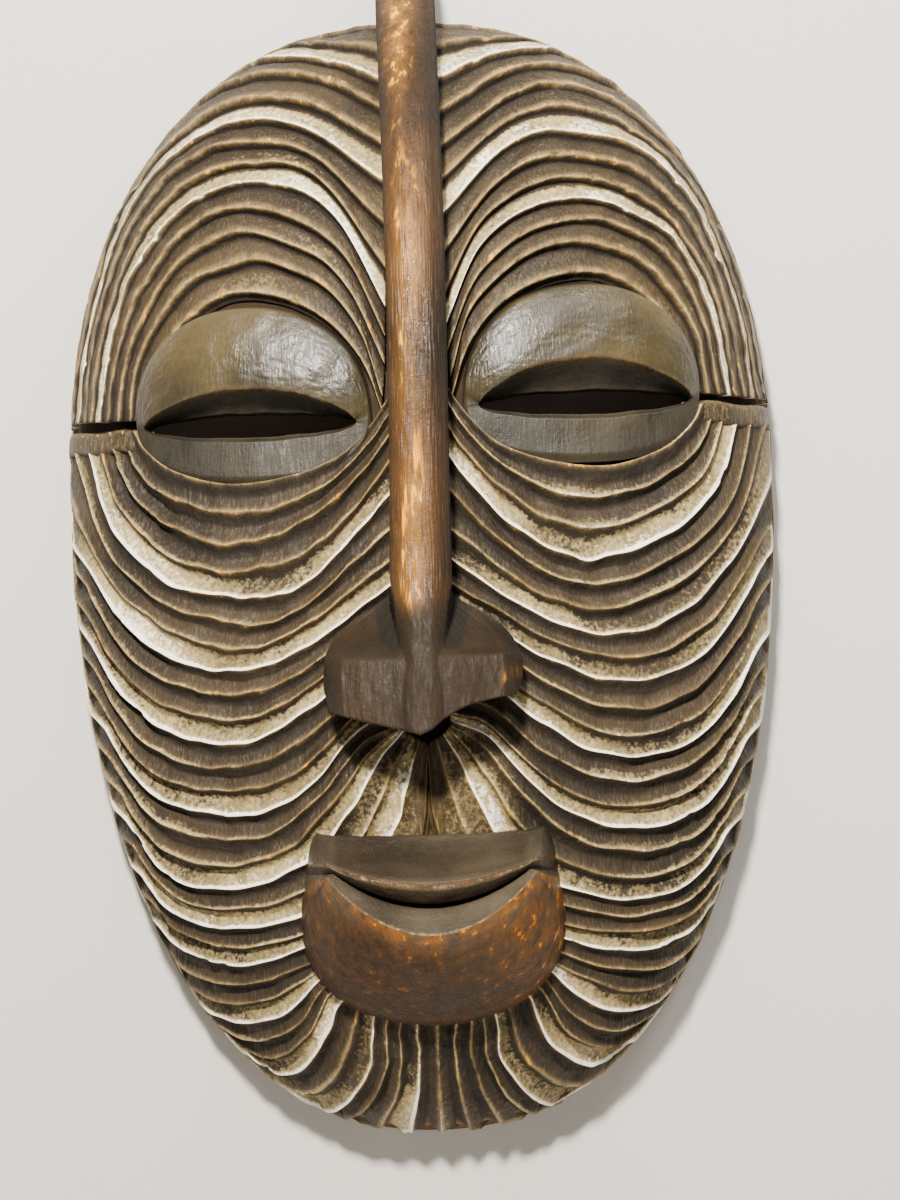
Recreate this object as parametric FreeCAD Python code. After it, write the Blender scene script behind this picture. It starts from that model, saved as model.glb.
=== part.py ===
"""Carved wooden face mask, hollow behind, with a ring hanger let into its back.

Millimetres.  +Z is up, the face looks along -Y and the flat back rim lies in the plane of the wall
towards +Y.  The origin is the hanging point: the inside top of the ring, where a nail carries it.
Shapes are first drawn in mask coordinates (x from the middle, z from the middle of the face,
y = 0 on the back rim) and moved to the hanging point at the end.
"""
import FreeCAD, Part
import os
from math import cos, pi, radians, sin, sqrt

Vector = FreeCAD.Vector

# Outline of the face: one rounded arch over a longer rounded chin, meeting at the widest level.
HALF_WIDTH = 132.0
WIDEST_Z = 32.0
ARCH_HEIGHT = 176.0
CHIN_DROP = 242.0
ARCH_POWER = 2.27
CHIN_POWER = 2.24

# Depth of the face in front of the back rim.
RIM_DEPTH = 14.0
FACE_DEPTH = 95.0
DOME_POWER = 2.6
SECTION_SIZES = (1.0, 0.97, 0.90, 0.76, 0.52, 0.22)
OUTLINE_POINTS = 24

# Hollow at the back; a solid block is left above it for the hanger.
WALL = 15.0
HOLLOW_ARCH_HEIGHT = 116.0

# Eyes; the one on the viewer's right sits higher.
EYE_X = 63.0
LEFT_EYE_Z = 58.0
RIGHT_EYE_Z = 63.0
LID_HALF_WIDTH = 45.0
LID_RISE = 47.0
LID_DROP = 24.0
LID_BULGE = 10.0
LID_DEEP = 26.0
LID_TURN = 17.0
SLIT_LENGTH = 79.0
SLIT_HEIGHT = 9.4

# Notch where the brow ridges end beside each eye.
NOTCH_START_X = 106.0
NOTCH_Z = 60.0
NOTCH_HEIGHT = 6.5
NOTCH_DEPTH = 9.0

# Crest and nose.
CREST_WIDTH = 22.5
CREST_HEIGHT = 22.0
CREST_TOP_Z = 229.0
CREST_BEND_Z = 200.0
NOSE_TOP_Z = -2.0
NOSE_BOTTOM_Z = -53.0
NOSE_HALF_WIDTH = 37.0
NOSE_TIP_Y = -133.0

# Mouth block.
MOUTH_TOP_Z = -99.0
MOUTH_BOTTOM_Z = -170.0
MOUTH_HALF_WIDTH = 46.0
MOUTH_FRONT_Y = -116.0
MOUTH_GAP_HEIGHT = 7.0
MOUTH_GAP_DEPTH = 13.0

# Hanger: a ring in a folded strap, screwed down in a recess.
HINGE_Z = 183.0
RECESS_DEPTH = 6.0
RECESS_WIDTH = 27.0
RECESS_TOP = 16.0
RECESS_BOTTOM = 23.0
STRAP_WIDTH = 9.0
STRAP_THICKNESS = 1.0
STRAP_TAIL = 21.5
RING_WIRE = 2.4
RING_WIDTH = 16.0
RING_SIDE = 5.0
RING_CORNER = 2.4
HINGE_CLEARANCE = 0.3
RING_LEAN = 3.5
SCREW_OFFSETS = (7.0, 17.5)
SCREW_SHANK = 1.4
SCREW_LENGTH = 14.0
SCREW_HEAD_RADIUS = 2.5
SCREW_HEAD_HEIGHT = 1.7

BARREL_INNER = RING_WIRE / 2 + HINGE_CLEARANCE
BARREL_OUTER = BARREL_INNER + STRAP_THICKNESS
FLOOR_Y = -RECESS_DEPTH
HINGE_Y = FLOOR_Y + BARREL_OUTER
RING_TOP = RING_SIDE + RING_WIDTH / 2
HANG_RISE = RING_TOP - RING_WIRE / 2


def outline_point(angle, size=1.0, inset=0.0, arch_height=ARCH_HEIGHT):
    """A point (x, z) on the face outline, shrunk by size about the widest level."""
    rising = sin(angle) >= 0
    power = ARCH_POWER if rising else CHIN_POWER
    height = arch_height if rising else CHIN_DROP - inset
    reach = (abs(cos(angle)) ** power + abs(sin(angle)) ** power) ** (-1 / power)
    x = (HALF_WIDTH - inset) * reach * cos(angle)
    z = height * reach * sin(angle)
    return size * x, WIDEST_Z + size * z


def face_radius(x, z):
    """How far a point lies from the middle of the face: 0 in the middle, 1 on the outline."""
    rising = z >= WIDEST_Z
    power = ARCH_POWER if rising else CHIN_POWER
    height = ARCH_HEIGHT if rising else CHIN_DROP
    return (abs(x / HALF_WIDTH) ** power + abs((z - WIDEST_Z) / height) ** power) ** (1 / power)


def dome_depth(radius, full_depth=FACE_DEPTH, rim_depth=RIM_DEPTH):
    """Depth in front of the back rim at a given face radius."""
    fall = max(0.0, 1 - min(radius, 1.0) ** DOME_POWER)
    return rim_depth + (full_depth - rim_depth) * sqrt(fall)


def face_y(x, z):
    """The y of the plain domed face at a point of the front view."""
    return -dome_depth(face_radius(x, z))


def outline_wire(size, y, inset=0.0, arch_height=ARCH_HEIGHT):
    """The face outline as one smooth closed curve in the plane y."""
    points = []
    for step in range(OUTLINE_POINTS):
        x, z = outline_point(2 * pi * step / OUTLINE_POINTS, size, inset, arch_height)
        points.append(Vector(x, y, z))
    curve = Part.BSplineCurve()
    curve.interpolate(Points=points, PeriodicFlag=True)
    return Part.Wire([curve.toShape()])


def dome(inset=0.0, arch_height=ARCH_HEIGHT, full_depth=FACE_DEPTH, rim_depth=RIM_DEPTH):
    """A solid dome standing on the back rim plane."""
    wires = [outline_wire(1.0, 0.0, inset, arch_height)]
    for size in SECTION_SIZES:
        depth = dome_depth(size, full_depth, rim_depth)
        wires.append(outline_wire(size, -depth, inset, arch_height))
    rim = Part.makeLoft(wires[:2], True, True)
    front = Part.makeLoft(wires[1:], True, False)
    return rim.fuse(front).removeSplitter()


def slab(points, y_front, y_back):
    """A straight-sided prism through the face; its section in the front view is a polygon."""
    corners = [Vector(x, y_back, z) for x, z in points]
    section = Part.Face(Part.makePolygon(corners + corners[:1]))
    return section.extrude(Vector(0, y_front - y_back, 0))


def curved_slab(lower, upper, y_front=-150.0, y_back=-8.0):
    """A prism through the face between two smooth curves of the front view."""
    edges = []
    for curve_points in (lower, upper[::-1]):
        curve = Part.BSplineCurve()
        curve.interpolate(Points=[Vector(x, y_back, z) for x, z in curve_points])
        edges.append(curve.toShape())
    ends = []
    for first, second in ((edges[0], edges[1]), (edges[1], edges[0])):
        ends.append(Part.makeLine(first.valueAt(first.LastParameter),
                                  second.valueAt(second.FirstParameter)))
    wire = Part.Wire([edges[0], ends[0], edges[1], ends[1]])
    return Part.Face(wire).extrude(Vector(0, y_front - y_back, 0))


def mirrored(shape):
    """The same shape on the other side of the face."""
    return shape.mirror(Vector(0, 0, 0), Vector(1, 0, 0))


def lid(eye_z):
    """One domed eyelid standing out of the face, its eye at the level eye_z."""
    ball = Part.makeSphere(1.0)
    stretch = FreeCAD.Matrix()
    stretch.scale(LID_HALF_WIDTH, LID_DEEP, LID_RISE)
    egg = ball.transformGeometry(stretch)
    egg.rotate(Vector(0, 0, 0), Vector(0, 0, 1), LID_TURN)
    egg.translate(Vector(EYE_X, face_y(EYE_X, eye_z) - LID_BULGE + LID_DEEP, eye_z))
    trim = Part.makeBox(140, 120, 100, Vector(EYE_X - 70, -150, eye_z - LID_DROP))
    return egg.common(trim)


def eye_slit(eye_z):
    """The see-through slit of one eye: a long lens cut right through the wall."""
    rise = SLIT_HEIGHT / 2
    left = Vector(EYE_X - SLIT_LENGTH / 2, 0, eye_z)
    right = Vector(EYE_X + SLIT_LENGTH / 2, 0, eye_z)
    upper = Part.Arc(left, Vector(EYE_X, 0, eye_z + rise), right).toShape()
    lower = Part.Arc(right, Vector(EYE_X, 0, eye_z - rise), left).toShape()
    return Part.Face(Part.Wire([upper, lower])).extrude(Vector(0, -150, 0))


def notch():
    """The step cut into the side of the face where the brow ridges end."""
    outside = HALF_WIDTH + 10.0
    inside_y = -RIM_DEPTH - 2.0
    points = [
        Vector(NOTCH_START_X, -150, NOTCH_Z - NOTCH_HEIGHT / 2),
        Vector(outside, -150, NOTCH_Z - NOTCH_HEIGHT / 2),
        Vector(outside, -150, NOTCH_Z + NOTCH_HEIGHT / 2),
        Vector(NOTCH_START_X, -150, NOTCH_Z + NOTCH_HEIGHT / 2),
    ]
    block = Part.Face(Part.makePolygon(points + points[:1])).extrude(Vector(0, 150 + inside_y, 0))
    core = dome(NOTCH_DEPTH, ARCH_HEIGHT - NOTCH_DEPTH, FACE_DEPTH - NOTCH_DEPTH)
    return block.cut(core)


def crest_and_nose():
    """The keel over the forehead that runs down the face and spreads into the nose."""
    front = [Vector(0, -16.0, CREST_TOP_Z), Vector(0, -38.0, CREST_TOP_Z - 8)]
    for step in range(8):
        z = CREST_BEND_Z - (CREST_BEND_Z - NOSE_TOP_Z) * step / 7
        front.append(Vector(0, face_y(0, z) - CREST_HEIGHT, z))
    front.append(Vector(0, NOSE_TIP_Y, NOSE_BOTTOM_Z))
    keel = Part.BSplineCurve()
    keel.interpolate(Points=front)
    keel_end = front[-1]
    outline = Part.Wire([
        keel.toShape(),
        Part.makeLine(keel_end, Vector(0, -40, NOSE_BOTTOM_Z)),
        Part.makeLine(Vector(0, -40, NOSE_BOTTOM_Z), Vector(0, -40, 160)),
        Part.makeLine(Vector(0, -40, 160), Vector(0, 0, 190)),
        Part.makeLine(Vector(0, 0, 190), Vector(0, 0, CREST_TOP_Z)),
        Part.makeLine(Vector(0, 0, CREST_TOP_Z), Vector(0, -16.0, CREST_TOP_Z)),
    ])
    side = Part.Face(outline)
    wide = side.copy()
    wide.translate(Vector(-NOSE_HALF_WIDTH, 0, 0))
    profile = wide.extrude(Vector(2 * NOSE_HALF_WIDTH, 0, 0))
    return profile.common(front_slab_of_nose())


def front_slab_of_nose():
    """The nose and crest in the front view: a long bar that flares into two wings."""
    half = CREST_WIDTH / 2
    right = [
        (half, CREST_TOP_Z + 5), (half, NOSE_TOP_Z - 4), (half + 9, NOSE_TOP_Z - 12),
        (NOSE_HALF_WIDTH - 7, NOSE_TOP_Z - 18), (NOSE_HALF_WIDTH - 1, NOSE_TOP_Z - 28),
        (NOSE_HALF_WIDTH, NOSE_BOTTOM_Z + 6), (NOSE_HALF_WIDTH - 8, NOSE_BOTTOM_Z + 5),
        (half + 6, NOSE_BOTTOM_Z + 4), (6, NOSE_BOTTOM_Z - 1), (0, NOSE_BOTTOM_Z - 6),
    ]
    left = [(-x, z) for x, z in right[-2::-1]]
    return slab(right + left, -160.0, 5.0)


def mouth_block():
    """The block of the mouth, narrowing forward, with the lips parted across its front."""
    back_y = -55.0
    wires = []
    for scale, y in ((1.08, back_y), (1.0, MOUTH_FRONT_Y + 22), (0.84, MOUTH_FRONT_Y)):
        wires.append(mouth_outline(scale, y))
    block = Part.makeLoft(wires, True, True)
    return block.cut(mouth_gap())


def mouth_outline(scale, y):
    """Outline of the mouth block in one plane: a straight top over a half round."""
    middle_z = (MOUTH_TOP_Z + MOUTH_BOTTOM_Z) / 2 + 8.0
    half = MOUTH_HALF_WIDTH * scale
    top = middle_z + (MOUTH_TOP_Z - middle_z) * scale
    bottom = middle_z + (MOUTH_BOTTOM_Z - middle_z) * scale
    shoulder = middle_z + 6.0
    return Part.Wire([
        Part.makeLine(Vector(-half, y, shoulder), Vector(-half, y, top)),
        Part.makeLine(Vector(-half, y, top), Vector(half, y, top)),
        Part.makeLine(Vector(half, y, top), Vector(half, y, shoulder)),
        Part.Arc(Vector(half, y, shoulder), Vector(0, y, bottom),
                 Vector(-half, y, shoulder)).toShape(),
    ])


def mouth_gap():
    """The smiling gap between the lips."""
    half = MOUTH_HALF_WIDTH - 9.0
    corner_z = MOUTH_TOP_Z - 12.0
    low_z = MOUTH_TOP_Z - 25.0
    lower, upper = [], []
    for sag, points in ((MOUTH_GAP_HEIGHT / 2, lower), (-MOUTH_GAP_HEIGHT / 2, upper)):
        for share in (-1.0, -0.5, 0.0, 0.5, 1.0):
            drop = (corner_z - low_z) * (1 - share ** 2)
            points.append((half * share, corner_z - drop - sag))
    return curved_slab(lower, upper, -150.0, MOUTH_FRONT_Y + MOUTH_GAP_DEPTH)


def recess():
    """The pocket in the back that takes the hanger."""
    pocket = Part.makeBox(RECESS_WIDTH, RECESS_DEPTH + 5, RECESS_TOP + RECESS_BOTTOM,
                          Vector(-RECESS_WIDTH / 2, FLOOR_Y, HINGE_Z - RECESS_BOTTOM))
    upright = [edge for edge in pocket.Edges if abs(edge.tangentAt(0).y) > 0.9]
    return pocket.makeFillet(4.0, upright)


def screw_places():
    """Centres of the two hanger screws on the recess floor."""
    return [Vector(0, FLOOR_Y, HINGE_Z - offset) for offset in SCREW_OFFSETS]


def carved_mask():
    """The whole carving: one block of wood."""
    lids = [mirrored(lid(LEFT_EYE_Z)), lid(RIGHT_EYE_Z)]
    slits = [mirrored(eye_slit(LEFT_EYE_Z)), eye_slit(RIGHT_EYE_Z)]
    body = dome().fuse(lids + [crest_and_nose(), mouth_block()])
    hollow = dome(WALL, HOLLOW_ARCH_HEIGHT, FACE_DEPTH - WALL, 1.0)
    cutters = slits + [hollow, notch(), mirrored(notch()), recess()]
    for place in screw_places():
        cutters.append(Part.makeCylinder(SCREW_SHANK, SCREW_LENGTH, place, Vector(0, -1, 0)))
    return body.cut(cutters)


def hanger_strap():
    """A metal strip folded round the bar of the ring, its two ends lying on the recess floor."""
    half = STRAP_WIDTH / 2
    hinge = Vector(-half, HINGE_Y, HINGE_Z)
    barrel = Part.makeCylinder(BARREL_OUTER, STRAP_WIDTH, hinge, Vector(1, 0, 0))
    tail = Part.makeBox(STRAP_WIDTH, 2 * STRAP_THICKNESS, STRAP_TAIL,
                        Vector(-half, FLOOR_Y, HINGE_Z - STRAP_TAIL))
    strap = barrel.fuse(tail)
    strap = strap.cut(Part.makeCylinder(BARREL_INNER, STRAP_WIDTH, hinge, Vector(1, 0, 0)))
    for place in screw_places():
        strap = strap.cut(Part.makeCylinder(SCREW_SHANK, 5, place, Vector(0, 1, 0)))
    return strap.removeSplitter()


def hanger_ring():
    """A D-shaped wire ring, standing up from its hinge bar and leaning a little into the recess."""
    half = RING_WIDTH / 2
    corner = RING_CORNER
    slant = corner * (1 - sqrt(0.5))
    def at(x, z):
        return Vector(x, HINGE_Y, HINGE_Z + z)
    path = Part.Wire([
        Part.makeLine(at(0, 0), at(half - corner, 0)),
        Part.Arc(at(half - corner, 0), at(half - slant, slant), at(half, corner)).toShape(),
        Part.makeLine(at(half, corner), at(half, RING_SIDE)),
        Part.Arc(at(half, RING_SIDE), at(0, RING_TOP), at(-half, RING_SIDE)).toShape(),
        Part.makeLine(at(-half, RING_SIDE), at(-half, corner)),
        Part.Arc(at(-half, corner), at(slant - half, slant), at(corner - half, 0)).toShape(),
        Part.makeLine(at(corner - half, 0), at(0, 0)),
    ])
    section = Part.Wire([Part.makeCircle(RING_WIRE / 2, at(0, 0), Vector(1, 0, 0))])
    ring = path.makePipeShell([section], True, False)
    ring.rotate(at(0, 0), Vector(1, 0, 0), RING_LEAN)
    return ring


def hanger_screws():
    """The two round-headed wood screws that hold the strap."""
    screws = []
    for place in screw_places():
        shank = Part.makeCylinder(SCREW_SHANK, SCREW_LENGTH, place, Vector(0, -1, 0))
        neck = Part.makeCylinder(SCREW_SHANK, 2 * STRAP_THICKNESS, place, Vector(0, 1, 0))
        seat = place + Vector(0, 2 * STRAP_THICKNESS, 0)
        head = Part.makeCylinder(SCREW_HEAD_RADIUS, SCREW_HEAD_HEIGHT, seat, Vector(0, 1, 0))
        rim = [edge for edge in head.Edges
               if edge.Closed and edge.CenterOfMass.y > seat.y + SCREW_HEAD_HEIGHT / 2]
        head = head.makeFillet(0.8, rim)
        slot = Part.makeBox(6, 1, 0.7, Vector(-3, seat.y + SCREW_HEAD_HEIGHT - 0.8, place.z - 0.35))
        screws.append(shank.fuse([neck, head]).removeSplitter().cut(slot))
    return Part.makeCompound(screws)


def hanging_point():
    """The inside top of the ring."""
    lean = radians(RING_LEAN)
    return Vector(0, HINGE_Y - HANG_RISE * sin(lean), HINGE_Z + HANG_RISE * cos(lean))


def main():
    os.makedirs("parts", exist_ok=True)
    origin = hanging_point()
    for make in (carved_mask, hanger_strap, hanger_ring, hanger_screws):
        shape = make()
        shape.translate(origin.negative())
        shape.exportStep("parts/" + make.__name__ + ".step")
        box = shape.BoundBox
        print(make.__name__, shape.isValid(), len(shape.Solids), round(shape.Volume), box)
    print("origin", origin)


main()
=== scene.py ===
"""Looks for the carved wooden mask: the ridged face, the eyes, the keel and nose, the mouth and the back.

Shapes are drawn in mask coordinates, in millimetres: x to the viewer's right from the middle of the
face, z up from the middle of the face, and depth forward from the back rim.  to_scene() turns them
into the frame's metres, whose origin is the hanging point behind the top of the mask.
"""
import math

import bpy
import numpy as np
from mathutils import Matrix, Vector

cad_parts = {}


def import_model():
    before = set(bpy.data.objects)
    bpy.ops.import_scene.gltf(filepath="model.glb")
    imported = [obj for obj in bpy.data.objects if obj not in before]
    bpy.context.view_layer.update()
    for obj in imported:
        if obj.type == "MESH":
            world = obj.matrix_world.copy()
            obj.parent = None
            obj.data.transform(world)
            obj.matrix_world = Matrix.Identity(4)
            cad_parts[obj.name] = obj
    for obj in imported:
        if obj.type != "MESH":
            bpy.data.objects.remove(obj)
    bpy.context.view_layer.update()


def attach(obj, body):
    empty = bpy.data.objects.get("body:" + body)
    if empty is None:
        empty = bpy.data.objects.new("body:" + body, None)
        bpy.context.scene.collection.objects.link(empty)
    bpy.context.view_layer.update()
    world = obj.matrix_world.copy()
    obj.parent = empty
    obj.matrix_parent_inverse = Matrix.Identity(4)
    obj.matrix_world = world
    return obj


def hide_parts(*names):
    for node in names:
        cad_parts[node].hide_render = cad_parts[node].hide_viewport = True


# Where the hanging point lies in mask coordinates, in millimetres.
HANG_DEPTH = 4.220373
HANG_Z = 194.777991

# Outline of the face and its depth in front of the back rim.
HALF_WIDTH = 132.0
WIDEST_Z = 32.0
ARCH_HEIGHT = 176.0
CHIN_DROP = 242.0
ARCH_POWER = 2.27
CHIN_POWER = 2.24
RIM_DEPTH = 14.0
FACE_DEPTH = 95.0
DOME_POWER = 2.6
RIM_RADIUS = 1.106

# The carving narrows towards the front by this share for each millimetre of depth.
TAPER = 0.00055

# Hollow at the back.
HOLLOW_HALF_WIDTH = 117.0
HOLLOW_ARCH = 116.0
HOLLOW_CHIN = 227.0
HOLLOW_DEPTH = 80.0

# Eyes.
EYE_X = 63.0
EYE_Z = 58.0
EYE_LIFT = 5.0
SLIT_HALF_LENGTH = 39.5
SLIT_HALF_HEIGHT = 4.7

# Ridges: their depth, and where the rows of the mesh lie within one ridge, closest at its crest.
CHEEK_DEPTH = 2.9
BROW_DEPTH = 3.4
CHEEK_STEPS = (0.0, 0.035, 0.09, 0.2, 0.32, 0.43, 0.5, 0.6, 0.72, 0.84, 0.93, 0.97)
BROW_STEPS = (0.0, 0.05, 0.09, 0.12, 0.15, 0.18, 0.22, 0.28, 0.36, 0.46, 0.57, 0.68, 0.79, 0.89, 0.96)

# How far the thin sheets of the carving reach in under their own surface.
SHEET_DEPTH = 6.0

# Camera: its distance and the height of its view in metres, the middle of the view in mask
# coordinates, its roll in degrees and the size of its sensor in millimetres.
VIEW_DISTANCE = 1.60
VIEW_HEIGHT = 0.451
VIEW_CENTRE = (9.5, -9.6)
VIEW_ROLL = 1.78
SENSOR = 36.0

# Room, in metres: the floor's level, how far the room reaches and the wall's gap behind the rim.
FLOOR_Z = -1.0
ROOM_REACH = 4.0
WALL_REACH = 3.0
WALL_TOP = 2.0
WALL_GAP = 0.0015

# Lights: name, place and size in metres, power in watts and colour; all point at the face.
LIGHT_TARGET = (0.0, 0.0, -0.19)
LIGHTS = (
    ("key_light", (-0.12, -1.14, 0.36), (0.11, 0.11), 62.0, (1.0, 0.95, 0.86)),
    ("top_light", (0.0, -0.60, 0.60), (1.1, 0.12), 6.5, (1.0, 0.97, 0.92)),
    ("side_light", (0.40, -0.44, 0.32), (0.14, 0.14), 2.6, (1.0, 0.98, 0.95)),
    ("fill_light", (0.5, -1.9, -0.2), (1.4, 1.4), 4.0, (0.97, 0.98, 1.0)),
    ("back_light", (0.4, 1.6, 0.5), (1.0, 1.0), 8.0, (1.0, 0.98, 0.95)),
)


# ---- curves and noise

def ease(low, high, value):
    """0 up to low, 1 from high on and an easy S between; it falls where low is the larger."""
    share = np.clip((value - low) / (high - low), 0.0, 1.0)
    return share * share * (3.0 - 2.0 * share)


def through(knots, values, places):
    """A smooth curve through values at knots, read at places; values may have any shape."""
    knots = np.asarray(knots, float)
    values = np.asarray(values, float)
    slopes = np.gradient(values, knots, axis=0)
    places = np.clip(np.asarray(places, float), knots[0], knots[-1])
    index = np.clip(np.searchsorted(knots, places, side="right") - 1, 0, len(knots) - 2)
    span = knots[index + 1] - knots[index]
    share = (places - knots[index]) / span
    tail = (1,) * (values.ndim - 1)
    span = span.reshape(span.shape + tail)
    share = share.reshape(share.shape + tail)
    start = (2 * share ** 3 - 3 * share ** 2 + 1) * values[index]
    leave = (share ** 3 - 2 * share ** 2 + share) * span * slopes[index]
    end = (3 * share ** 2 - 2 * share ** 3) * values[index + 1]
    arrive = (share ** 3 - share ** 2) * span * slopes[index + 1]
    return start + leave + end + arrive


def ripple(a, b, seed, waves=6, reach=1.0):
    """Smooth irregular values between about -1 and 1 over two coordinates."""
    rng = np.random.default_rng(seed)
    total = np.zeros(np.broadcast(a, b).shape)
    for _ in range(waves):
        turn_a, turn_b = rng.normal(0.0, reach, 2)
        total = total + np.sin(turn_a * a + turn_b * b + rng.uniform(0.0, 2.0 * math.pi))
    return total / math.sqrt(waves) / 1.4


def speckle(shape, seed, spread):
    """Random values on a grid, blurred over spread cells, with unit deviation."""
    rng = np.random.default_rng(seed)
    field = rng.normal(size=shape)
    for axis, width in enumerate(spread):
        reach = int(3 * width)
        if reach < 1:
            continue
        kernel = np.exp(-0.5 * (np.arange(-reach, reach + 1) / width) ** 2)
        padded = np.pad(field, [(reach, reach) if n == axis else (0, 0) for n in (0, 1)], mode="wrap")
        field = np.apply_along_axis(lambda row: np.convolve(row, kernel, mode="valid"), axis, padded)
    return field / field.std()


# ---- the plain face

def face_radius(x, z):
    """0 in the middle of the face, 1 on its outline and RIM_RADIUS at the back of the side wall."""
    rising = z >= WIDEST_Z
    power = np.where(rising, ARCH_POWER, CHIN_POWER)
    height = np.where(rising, ARCH_HEIGHT, CHIN_DROP)
    return (np.abs(x / HALF_WIDTH) ** power + np.abs((z - WIDEST_Z) / height) ** power) ** (1 / power)


def dome_depth(radius):
    """Depth of the plain face in front of the back rim."""
    fall = 1.0 - np.minimum(radius, 1.0) ** DOME_POWER
    front = RIM_DEPTH + (FACE_DEPTH - RIM_DEPTH) * np.sqrt(np.maximum(fall, 0.0))
    side = RIM_DEPTH * (RIM_RADIUS - radius) / (RIM_RADIUS - 1.0)
    return np.where(radius < 1.0, front, np.maximum(side, 0.0))


def on_face(x, z):
    """Mask coordinates (x, depth, z) of a point of the plain face seen at (x, z)."""
    radius = face_radius(x, z)
    depth = dome_depth(radius)
    pull = 1.0 / np.maximum(radius, 1.0)
    narrow = 1.0 - TAPER * depth
    return np.stack([x * pull * narrow, depth, (WIDEST_Z + (z - WIDEST_Z) * pull) * narrow], axis=-1)


def face_and_normals(x, z):
    """Points of the plain face seen at (x, z), and the unit normals there."""
    step = 0.5
    along = on_face(x + step, z) - on_face(x - step, z)
    upward = on_face(x, z + step) - on_face(x, z - step)
    normal = np.cross(upward, along)
    normal /= np.linalg.norm(normal, axis=-1, keepdims=True) + 1e-9
    return on_face(x, z), normal


def to_scene(points):
    """Mask coordinates in millimetres to the frame's metres."""
    points = np.asarray(points, float)
    x, depth, z = points[..., 0], points[..., 1], points[..., 2]
    return np.stack([x, HANG_DEPTH - depth, z - HANG_Z], axis=-1) / 1000.0


# ---- meshes

def in_scene(name, data):
    """A new object in the scene that holds a mesh, a light or a camera."""
    thing = bpy.data.objects.new(name, data)
    bpy.context.scene.collection.objects.link(thing)
    return thing


def taper(front, back):
    """Narrow a sheet by the depth of its front."""
    narrow = 1.0 - TAPER * front[..., 1:2]
    for points in (front, back):
        points[..., ::2] *= narrow


def make_piece(name, points, faces, coats, material):
    """A closed mesh piece; coats are per-vertex (clay, wear, grime and painted shade) values for its
    material.
    """
    mesh = bpy.data.meshes.new(name)
    mesh.from_pydata(to_scene(points).tolist(), [], faces)
    mesh.update()
    paint(mesh, coats)
    mesh.polygons.foreach_set("use_smooth", [True] * len(mesh.polygons))
    mesh.materials.append(material)
    piece = in_scene(name, mesh)
    face_outward(piece)
    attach(piece, "mask")
    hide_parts("carved_mask")
    return piece


def paint(mesh, coats):
    """Store (clay, wear, grime and painted shade) values on the vertices of a mesh."""
    colour = mesh.color_attributes.new("coats", "FLOAT_COLOR", "POINT")
    values = np.ones((len(mesh.vertices), 4))
    values[:, :3] = coats
    colour.data.foreach_set("color", values.ravel())


def face_outward(piece):
    """Turn the faces of a closed mesh outward."""
    mesh = piece.data
    count = len(mesh.polygons)
    centres = np.zeros(count * 3)
    normals = np.zeros(count * 3)
    areas = np.zeros(count)
    mesh.polygons.foreach_get("center", centres)
    mesh.polygons.foreach_get("normal", normals)
    mesh.polygons.foreach_get("area", areas)
    flux = np.sum(centres.reshape(-1, 3) * normals.reshape(-1, 3), axis=1) @ areas
    if flux < 0:
        mesh.flip_normals()


def sheet_faces(rows, columns, start=0, wrap=False):
    """Quads of a grid of vertices numbered row by row; wrap joins its last column to the first."""
    faces = []
    across = columns if wrap else columns - 1
    for row in range(rows - 1):
        for column in range(across):
            a = start + row * columns + column
            b = start + row * columns + (column + 1) % columns
            faces.append((a, b, b + columns, a + columns))
    return faces


def thick_sheet(name, front, back, coats, material):
    """A closed piece between a front grid and a back grid of the same shape."""
    rows, columns = front.shape[:2]
    size = rows * columns
    faces = sheet_faces(rows, columns)
    faces += [tuple(size + corner for corner in face[::-1]) for face in sheet_faces(rows, columns)]
    border = list(range(columns))
    border += [row * columns + columns - 1 for row in range(1, rows)]
    border += [(rows - 1) * columns + column for column in range(columns - 2, -1, -1)]
    border += [row * columns for row in range(rows - 2, 0, -1)]
    for here, there in zip(border, border[1:] + border[:1]):
        faces.append((there, here, size + here, size + there))
    points = np.concatenate([front.reshape(-1, 3), back.reshape(-1, 3)])
    flat = coats.reshape(-1, 3)
    return make_piece(name, points, faces, np.concatenate([flat, flat]), material)


def sided(name, side):
    """The name of a piece on one side of the face."""
    return name + ("_left" if side < 0 else "_right")


# ---- ridged cheeks and brows

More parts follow.
